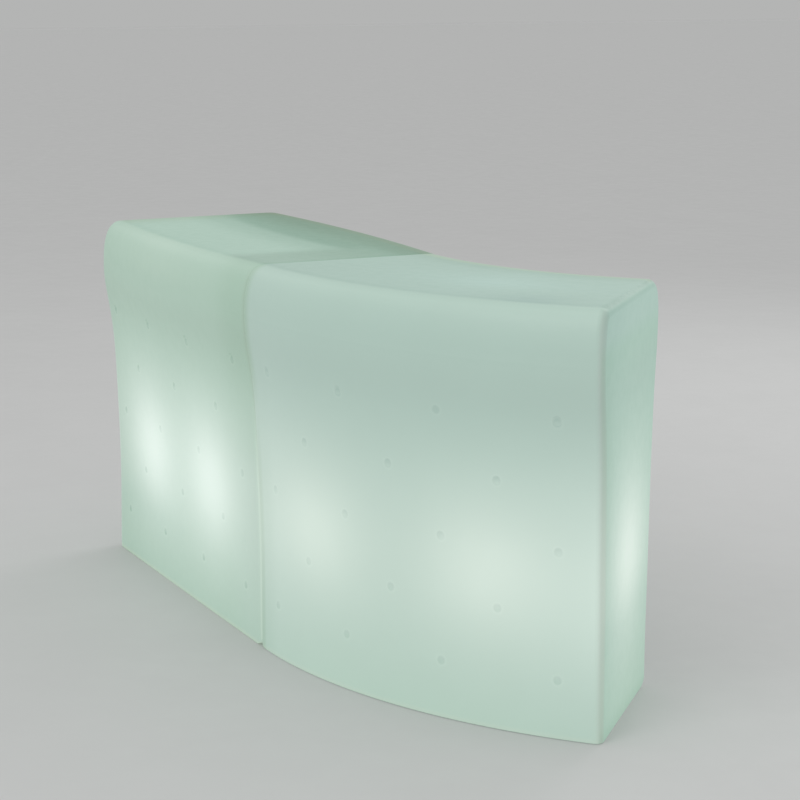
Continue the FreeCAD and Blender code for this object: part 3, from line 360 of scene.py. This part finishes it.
for side in sides:
    finish, shader, place = new_finish(side + "_skin", {"Specular IOR Level": 0.4, "Emission Strength": 1.0})
    point = own_place(side, place)
    normal = own(side, facing_at(place))
    x, y, z = point.axes()
    across, inward, upward = normal.axes()
    if side == "straight":
        along, depth, facing, outer = x, y, -inward, -across
        end_lamps = pair(2.0 * half_length[side] - lamp_spread, lamp_depth, lamp_height)
        to_seam = half_length[side] - along
        from_middle = along - bow_middle
        bow = (1.0 - from_middle * from_middle / bow_half_square).at_least(0.0)
        front_crease = front_crease_depth - front_bow * bow
        rear_crease = rear_crease_depth + rear_bow * bow
    else:
        behind = curve_radius - y
        angle = x.maths("ARCTAN2", x, behind)
        along = angle * curve_radius
        depth = curve_radius - distance(x, behind)
        sine = angle.maths("SINE", angle)
        cosine = angle.maths("COSINE", angle)
        facing = across * sine - inward * cosine
        outer = across * cosine + inward * sine
        lamp_angle = curve_angle - math.atan2(lamp_spread, curve_radius - lamp_depth)
        lamp_radius = math.hypot(lamp_spread, curve_radius - lamp_depth)
        end_depth = curve_radius - lamp_radius * math.cos(lamp_angle)
        end_lamps = pair(lamp_radius * math.sin(lamp_angle), end_depth, lamp_height)
        to_seam = half_length[side] + along
        front_crease = front_crease_depth
        rear_crease = rear_crease_depth

    # light through the skin, from the lamps and off the ends and the floor inside; the inner face of the
    # front wall, which an open hatch shows, glows as its outer face does
    backward = (-facing).ramp(0.1, 0.5)
    inner_face = backward * depth.fall(0.28, 0.30)
    recess_wall = backward * (depth - recess_back).bell(0.02)
    outward = normal * (1.0 - 2.0 * inner_face)
    lamps = lamp_light(point, outward, pair(lamp_spread, lamp_depth, lamp_height))
    off_ends = lamp_light(point, outward, end_lamps)
    off_floor = lamp_light(point, outward, pair(lamp_spread, lamp_depth, -lamp_height))
    waist = (z - waist_height).bell(0.10)
    on_recess = brightest_recess * lamps / (lamps + brightest_recess)
    glows = []
    for wall in (side, "end"):
        direct = lamps.maths("SMOOTH_MIN", lamps, brightest_skin / lamp_share[wall][0], spot_softness)
        direct = direct + recess_wall * (on_recess - direct)
        indirect = off_end_share[wall] * off_ends + off_floor_share[wall] * off_floor
        glows.append(plain_glow[wall] + lamp_share[wall] * direct + indirect - waist_shade[wall] * waist)
    front, end = glows

    # painted shade and painted light in the glow, place by place: darker by the seam and in a low band under
    # the left lamp, brighter low by the straight body's seam and at its nose; the curved end brighter high
    # up, darker low down and by its front edge
    if side == "straight":
        by_seam_high = to_seam.fall(0.06, 0.22) * z.ramp(0.60, 0.88)
        by_seam_low = to_seam.fall(0.04, 0.25) * z.fall(0.45, 0.62)
        below_lamps = (z - 0.20).bell(0.07) * along.fall(-0.25, 0.10)
        nose = along.bell(0.30) * z.ramp(0.95, 1.02)
        front = front - (0.027, 0.026, 0.030) * by_seam_high - (0.026, 0.022, 0.020) * below_lamps
        front = front + (0.022, 0.018, 0.024) * by_seam_low + (0.026, 0.020, 0.020) * nose
    else:
        by_seam_high = to_seam.fall(0.012, 0.052) * z.ramp(0.66, 0.85)
        by_seam_middle = to_seam.fall(0.03, 0.13) * (z - 0.45).bell(0.22)
        front = front - (0.055, 0.048, 0.078) * by_seam_high - (0.024, 0.024, 0.026) * by_seam_middle
        high_rear = z.ramp(0.86, 0.98) * depth.ramp(0.08, 0.28)
        by_arris = depth.fall(-0.02, 0.11) * (z - 0.62).bell(0.30)
        end = end + (0.026, 0.012, 0.032) * z.ramp(0.97, 1.04) + (0.016, 0.018, 0.014) * high_rear
        end = end - (0.030, 0.028, 0.025) * (z - 0.26).bell(0.08) - (0.028, 0.032, 0.034) * by_arris
        end = end - 0.035 * z.fall(0.0, 0.05)
    light = outer.ramp(0.45, 0.85).between(front, end)
    # painted shade where the rounding turns up into the top
    light = light - 0.030 * upward.ramp(0.72, 0.98)

    # the flat top, inside its two creases, with a painted shade along the front crease and painted light
    # along the rear lip
    top = straight_top(along, depth) if side == "straight" else curved_top(along, depth)
    crease = (depth - front_crease).fall(0.0, 0.045)
    lip = (rear_crease - depth).fall(0.0, 0.015)
    top = top - 0.020 * crease + lip_light[side] * lip
    on_top = upward.ramp(0.6, 0.95) * z.ramp(body_height - 0.015, body_height - 0.005)
    on_top = on_top * (depth - front_crease).ramp(-0.020, 0.012) * (rear_crease - depth).ramp(-0.070, -0.020)
    light = on_top.between(light, top)

    # edges: painted shade where two walls meet, with a faint warm painted light at the foot; low at the seam
    # a painted highlight on the straight body's edge, and painted shade on the curved body's
    arris = (facing * outer * outer * 2.6).at_least(0.0).at_most(1.0)
    brink = (upward * outer * 3.0).at_least(0.0).at_most(1.0)
    light = light - arris_shade[side] * arris - brink_shade[side] * brink
    light = light + foot_light[side] * z.fall(0.006, 0.018) * (1.0 - outer.ramp(0.4, 0.7))
    low_seam = z.fall(0.45, 0.75)
    if side == "straight":
        light = light + (0.055, 0.060, 0.050) * across.ramp(0.35, 0.70) * low_seam
    else:
        seam_shade = (0.050, 0.050, 0.062) * to_seam.fall(0.022, 0.042)
        seam_shade = seam_shade + (0.026, 0.026, 0.028) * to_seam.fall(0.035, 0.130)
        light = light - seam_shade * low_seam

    # painted shade in the glow on the moulded dimples, with a faint painted highlight round their rims
    light = light - dimple_shade[side] * dimples(along, depth, z, facing)

    # the wall's thickness varies a little, so the glow is faintly cloudy
    cloud = 0.965 + 0.05 * point.noise(4.0, 2.0) + 0.02 * point.noise(15.0, 2.0)
    light = light * cloud
    feed(shader, "Emission Color", light.vector("MAXIMUM", light, (0.0, 0.0, 0.0)))

    # the skin itself: milky, a little greyer where hands and shoes rub it, with the ripple of the mould
    rubbed = point.noise(5.0, 5.0).ramp(0.45, 0.75) * z.ramp(0.02, 0.25, 1.0, 0.25)
    feed(shader, "Base Color", rubbed.between((0.211, 0.296, 0.246), (0.204, 0.286, 0.237)))
    feed(shader, "Roughness", point.noise(30.0, 5.0).ramp(0.35, 0.70, 0.43, 0.49))
    ripple = point.noise(70.0, 2.0) + 0.25 * point.noise(420.0, 1.0)
    feed(shader, "Normal", relief(ripple, 0.00016))
    dress(side, finish, "shell")


# ---- shelf boards ----
# Two boards of each body: white laminate on chipboard, with a glued plastic edge band all round.
# They lie loose on their rails, and bottles have left fine rubs on them.
joint_inset = 0.0011
joint_width = 0.00025
for side in sides:
    for level in ("lower", "upper"):
        finish, shader, place = new_finish(side + "_" + level + "_board", {"Specular IOR Level": 0.45})
        point = own_place(side, place)
        low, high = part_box(side + "_" + level + "_shelf")
        upward = facing_at(place).axes()[2]
        z = point.axes()[2]
        edge = abs(upward).fall(0.5, 0.8)
        lower_joint = (z - (low.z + joint_inset)).bell(joint_width)
        upper_joint = (z - (high.z - joint_inset)).bell(joint_width)
        joint = edge * (lower_joint + upper_joint).at_most(1.0)
        cloud = point.noise(6.0, 4.0)
        face = cloud.between((0.775, 0.775, 0.760), (0.800, 0.800, 0.785))
        tone = edge.between(face, (0.76, 0.765, 0.755))
        rub = point.noise(40.0, 6.0, (1.0, 0.12, 1.0)).ramp(0.60, 0.72) * (1.0 - edge)
        tone = (0.12 * rub).between(tone, (0.55, 0.55, 0.53))
        feed(shader, "Base Color", (0.75 * joint).between(tone, (0.30, 0.28, 0.25)))
        feed(shader, "Roughness", 0.34 + 0.12 * point.noise(25.0, 4.0) + 0.15 * rub)
        pearl = point.cells(650.0) + 0.5 * point.noise(1500.0, 2.0)
        feed(shader, "Normal", relief(pearl * (1.0 - 0.7 * edge) - 2.0 * joint, 0.00005))
        dress(side, finish, level + "_shelf")


# ---- shelf rails ----
# Drawn aluminium angle, 20 by 20 by 2 mm, satin anodised, screwed to the recess's walls.
# Fine die lines run along each length, and the boards have rubbed their upper faces.
rail_width = 0.020
recess_half = {"straight": 0.540, "curved": 0.305}
for side in sides:
    finish, shader, place = new_finish(side + "_rail_metal", {"Metallic": 1.0})
    point = own_place(side, place)
    upward = facing_at(place).axes()[2]
    end_rail = recess_half[side] - rail_width
    at_end = abs(point.axes()[0]).ramp(end_rail - 0.004, end_rail - 0.002)
    lengthwise = point.noise(600.0, 3.0, (0.006, 1.0, 1.0))
    crosswise = point.noise(600.0, 3.0, (1.0, 0.006, 1.0))
    lines = lengthwise * (1.0 - at_end) + crosswise * at_end
    rub = upward.ramp(0.7, 0.9) * point.noise(60.0, 5.0).ramp(0.5, 0.65)
    feed(shader, "Base Color", (lines * 0.6 + 0.4 * rub).between((0.68, 0.68, 0.69), (0.80, 0.80, 0.80)))
    feed(shader, "Roughness", 0.30 + 0.16 * lines - 0.08 * rub)
    feed(shader, "Normal", relief(lines, 0.00003))
    dress(side, finish, "shelf_rails")


# ---- screws, inserts and strikers ----
# Zinc-plated steel screws with a faint blue and straw cast and dull rims, plain steel striker discs
# behind the hatch magnets, and knurled brass inserts moulded into the skin.
def dress_both(finish, *names):
    """Give these nodes of both bodies one finish."""
    for side in sides:
        dress(side, finish, *names)


finish, shader, place = new_finish("zinc_plate", {"Metallic": 1.0})
cast = place.noise(180.0, 3.0)
spangle = place.cells(900.0)
feed(shader, "Base Color", cast.ramp(0.35, 0.65).between((0.58, 0.60, 0.64), (0.66, 0.64, 0.58)))
feed(shader, "Roughness", 0.26 + 0.22 * place.noise(700.0, 4.0) + 0.1 * spangle)
feed(shader, "Normal", relief(place.noise(2600.0, 3.0) + spangle, 0.00002))
dress_both(finish, "wall_screws", "hatch_screws", "lamp_bar_screws", "pad_screws", "hatch_strikers")
cover(finish, "joining_screws")

finish, shader, place = new_finish("insert_brass", {"Metallic": 1.0})
knurl = place.cells(1400.0)
feed(shader, "Base Color", place.noise(300.0, 4.0).between((0.70, 0.50, 0.22), (0.84, 0.66, 0.34)))
feed(shader, "Roughness", 0.28 + 0.2 * place.noise(900.0, 3.0))
feed(shader, "Normal", relief(knurl, 0.00012))
dress_both(finish, "wall_inserts")


# ---- lamp hatch ----
# A moulded plastic door over the lamps, with a raised field and a fine leather grain on its face, a soft
# black sponge seal behind it, a steel pull rod, and small nickel magnets in the wall that hold it shut.
chamber_depth = 0.215
brightest_hatch = 20.0
for side in sides:
    finish, shader, place = new_finish(side + "_hatch_plastic",
                                       {"Specular IOR Level": 0.4, "Emission Strength": 1.0})
    point = own_place(side, place)
    normal = own(side, facing_at(place))
    # painted light: the hatch glows faintly from the lamps behind it, most where they are near
    glow = lamp_light(point, normal, pair(lamp_spread, chamber_depth, lamp_height)).at_most(brightest_hatch)
    feed(shader, "Emission Color", (0.030, 0.045, 0.036) + (0.0065, 0.0072, 0.0066) * glow)
    feed(shader, "Base Color", point.noise(8.0, 4.0).between((0.50, 0.525, 0.505), (0.54, 0.56, 0.54)))
    grain = point.cells(780.0) + 0.5 * point.noise(1300.0, 3.0)
    feed(shader, "Roughness", 0.48 + 0.12 * point.noise(30.0, 4.0) - 0.08 * grain)
    feed(shader, "Normal", relief(grain, 0.00009))
    dress(side, finish, "hatch")

    finish, shader, place = new_finish(side + "_pull_metal", {"Metallic": 1.0})
    point = own_place(side, place)
    touched = point.noise(55.0, 4.0).ramp(0.42, 0.62)
    polish = point.noise(1500.0, 2.0, (0.01, 1.0, 1.0))
    feed(shader, "Base Color", touched.between((0.80, 0.80, 0.81), (0.70, 0.70, 0.70)))
    feed(shader, "Roughness", 0.09 + 0.16 * touched + 0.06 * polish)
    feed(shader, "Normal", relief(polish, 0.000008))
    dress(side, finish, "hatch_pull")

finish, shader, place = new_finish("sponge_seal", {"Specular IOR Level": 0.25})
pores = place.cells(1900.0)
feed(shader, "Base Color", pores.ramp(0.1, 0.5).between((0.012, 0.012, 0.013), (0.042, 0.042, 0.043)))
feed(shader, "Roughness", 0.80 + 0.15 * place.noise(120.0, 3.0))
feed(shader, "Normal", relief(pores + place.noise(500.0, 3.0), 0.00014))
dress_both(finish, "hatch_seal")

finish, shader, place = new_finish("magnet_nickel", {"Metallic": 1.0})
feed(shader, "Base Color", place.noise(260.0, 4.0).between((0.54, 0.53, 0.51), (0.66, 0.65, 0.62)))
feed(shader, "Roughness", place.noise(800.0, 5.0).ramp(0.3, 0.7, 0.14, 0.34))
feed(shader, "Normal", relief(place.noise(1800.0, 3.0), 0.00001))
dress_both(finish, "hatch_magnets")


# ---- hinges ----
# Rolled stainless leaves round one pin, five knuckles in all, brushed along their length. One leaf is
# screwed to the recess's wall, the other to the hatch.
for side in sides:
    finish, shader, place = new_finish(side + "_hinge_steel", {"Metallic": 1.0})
    point = own_place(side, place)
    brush = point.noise(1400.0, 4.0, (0.012, 1.0, 1.0))
    smear = point.noise(45.0, 4.0)
    feed(shader, "Base Color", (0.7 * brush + 0.3 * smear).between((0.50, 0.50, 0.50), (0.72, 0.72, 0.71)))
    feed(shader, "Roughness", 0.20 + 0.18 * brush + 0.08 * smear)
    feed(shader, "Normal", relief(brush, 0.00002))
    dress(side, finish, "hinge_wall_leaf", "hinge_door_leaf", "hinge_pin")


# ---- lamp bar, holders and lamps ----
# A folded steel bar with white powder coat carries two white moulded holders. Each lamp is an opal tube
# in a spun aluminium cap with a crimped rim, evenly lit from inside.
finish, shader, place = new_finish("powder_coat", {"Specular IOR Level": 0.5})
peel = place.noise(380.0, 2.0)
feed(shader, "Base Color", place.noise(12.0, 4.0).between((0.80, 0.80, 0.785), (0.84, 0.84, 0.825)))
feed(shader, "Roughness", 0.30 + 0.15 * peel + 0.08 * place.noise(40.0, 3.0))
feed(shader, "Normal", relief(peel, 0.00010))
dress_both(finish, "lamp_bar")

finish, shader, place = new_finish("holder_plastic", {"Specular IOR Level": 0.45})
feed(shader, "Base Color", place.noise(60.0, 4.0).between((0.78, 0.775, 0.75), (0.83, 0.825, 0.80)))
feed(shader, "Roughness", 0.32 + 0.14 * place.noise(300.0, 3.0))
feed(shader, "Normal", relief(place.cells(1600.0), 0.00003))
dress_both(finish, "lampholders")

cap_thread = 0.0032
caps_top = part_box("straight_lamp_caps")[1].z
finish, shader, place = new_finish("cap_metal", {"Metallic": 1.0})
height = place.axes()[2]
turning = height * 2.0 * math.pi / cap_thread
crimp = turning.maths("SINE", turning) * (caps_top - height).ramp(0.0, 0.006)
feed(shader, "Base Color", place.noise(240.0, 4.0).between((0.64, 0.64, 0.64), (0.78, 0.78, 0.77)))
feed(shader, "Roughness", 0.24 + 0.2 * place.noise(900.0, 3.0))
feed(shader, "Normal", relief(crimp + place.noise(1500.0, 2.0), 0.00010))
dress_both(finish, "lamp_caps")

tubes_low, tubes_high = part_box("straight_lamp_tubes")
finish, shader, place = new_finish("lamp_opal", {"Emission Strength": 1.6, "Specular IOR Level": 0.5})
height = place.axes()[2]
lit = (height - tubes_low.z).ramp(0.0, 0.030) * (tubes_high.z - height).ramp(-0.004, 0.022, 0.75, 1.0)
lit = lit * (0.97 + 0.06 * place.noise(35.0, 2.0))
feed(shader, "Emission Color", lit.between((0.55, 0.54, 0.48), (1.0, 1.0, 0.95)))
feed(shader, "Base Color", place.noise(80.0, 3.0).between((0.86, 0.86, 0.84), (0.90, 0.90, 0.88)))
feed(shader, "Roughness", 0.16 + 0.10 * place.noise(500.0, 3.0))
feed(shader, "Normal", relief(place.noise(300.0, 2.0), 0.00003))
dress_both(finish, "lamp_tubes")


# ---- junction box and leads ----
# A grey moulded box with a press-on lid, where the mains lead meets the two lamp leads. The leads are
# white rubber-like cable, a little dusty on top.
finish, shader, place = new_finish("box_plastic", {"Specular IOR Level": 0.4})
spark = place.noise(1700.0, 3.0)
feed(shader, "Base Color", place.noise(30.0, 4.0).between((0.37, 0.375, 0.38), (0.42, 0.425, 0.43)))
feed(shader, "Roughness", 0.50 + 0.18 * spark)
feed(shader, "Normal", relief(spark, 0.00006))
dress_both(finish, "junction_box", "box_lid")

finish, shader, place = new_finish("lead_rubber", {"Specular IOR Level": 0.4})
dust = facing_at(place).axes()[2].ramp(0.2, 0.9) * place.noise(150.0, 4.0)
feed(shader, "Base Color", dust.between((0.78, 0.775, 0.755), (0.66, 0.655, 0.63)))
feed(shader, "Roughness", 0.45 + 0.35 * dust)
feed(shader, "Normal", relief(place.noise(450.0, 3.0), 0.00008))
dress_both(finish, "leads")


# ---- mains inlet and switch ----
# A black snap-in inlet with a spark-eroded face and three brass blades, under it the rocker of the
# switch in polished black with the usual line and ring for on and off.
finish, shader, place = new_finish("inlet_plastic", {"Specular IOR Level": 0.4})
spark = place.noise(2300.0, 4.0)
tone = spark * 0.5 + 0.5 * place.noise(90.0, 3.0)
feed(shader, "Base Color", tone.between((0.018, 0.018, 0.019), (0.040, 0.040, 0.042)))
feed(shader, "Roughness", 0.46 + 0.22 * spark)
feed(shader, "Normal", relief(spark, 0.00006))
dress_both(finish, "inlet")

finish, shader, place = new_finish("pin_brass", {"Metallic": 1.0})
drawn = place.noise(1500.0, 3.0, (1.0, 0.02, 1.0))
feed(shader, "Base Color", place.noise(400.0, 4.0).between((0.72, 0.55, 0.27), (0.85, 0.70, 0.42)))
feed(shader, "Roughness", 0.18 + 0.2 * drawn)
feed(shader, "Normal", relief(drawn, 0.00001))
dress_both(finish, "inlet_pins")

mark_line = 0.0006
mark_offset = 0.0034
stroke_half = 0.0018
ring_radius = 0.0018
for side in sides:
    finish, shader, place = new_finish(side + "_rocker_plastic", {"Specular IOR Level": 0.55})
    point = own_place(side, place)
    rocker_low, rocker_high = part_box(side + "_rocker")
    centre = 0.5 * (rocker_low + rocker_high) - Vector(middle[side])
    turned_back = Vector((math.cos(turn[side]), -math.sin(turn[side]), 0.0))
    centre.rotate(Vector((1.0, 0.0, 0.0)).rotation_difference(turned_back))
    x, y, z = point.axes()
    x = x - centre.x
    z = z - centre.z
    stroke = abs(x).fall(0.4 * mark_line, 0.6 * mark_line)
    stroke = stroke * abs(z - mark_offset).fall(stroke_half - 0.0001, stroke_half + 0.0001)
    from_ring = distance(x, z + mark_offset) - ring_radius
    ring = abs(from_ring).fall(0.4 * mark_line, 0.6 * mark_line)
    mark = (stroke + ring).at_most(1.0) * (y - (recess_back - 0.001)).ramp(0.0, 0.001)
    worn = point.noise(700.0, 4.0)
    black = worn.between((0.014, 0.014, 0.015), (0.026, 0.026, 0.027))
    feed(shader, "Base Color", mark.between(black, (0.78, 0.78, 0.76)))
    feed(shader, "Roughness", 0.10 + 0.14 * worn + 0.25 * mark)
    feed(shader, "Normal", relief(worn + 0.5 * mark, 0.00002))
    dress(side, finish, "rocker")


# ---- floor pads and joining plates ----
# Round black rubber pads under the bodies, and two zinc-plated steel plates across the seam that hold
# the bodies together.
finish, shader, place = new_finish("pad_rubber", {"Specular IOR Level": 0.3})
grit = place.noise(800.0, 5.0)
feed(shader, "Base Color", grit.ramp(0.45, 0.8).between((0.016, 0.016, 0.017), (0.075, 0.072, 0.068)))
feed(shader, "Roughness", 0.70 + 0.25 * grit)
feed(shader, "Normal", relief(grit + place.cells(500.0), 0.00015))
dress_both(finish, "floor_pads")

finish, shader, place = new_finish("plate_steel", {"Metallic": 1.0})
spangle = place.cells(160.0)
rolled = place.noise(900.0, 3.0, (0.02, 1.0, 1.0))
feed(shader, "Base Color", (0.5 * spangle + 0.5 * rolled).between((0.56, 0.57, 0.59), (0.70, 0.70, 0.70)))
feed(shader, "Roughness", 0.30 + 0.2 * rolled + 0.15 * spangle)
feed(shader, "Normal", relief(rolled + 0.5 * spangle, 0.00002))
cover(finish, "joining_plates")
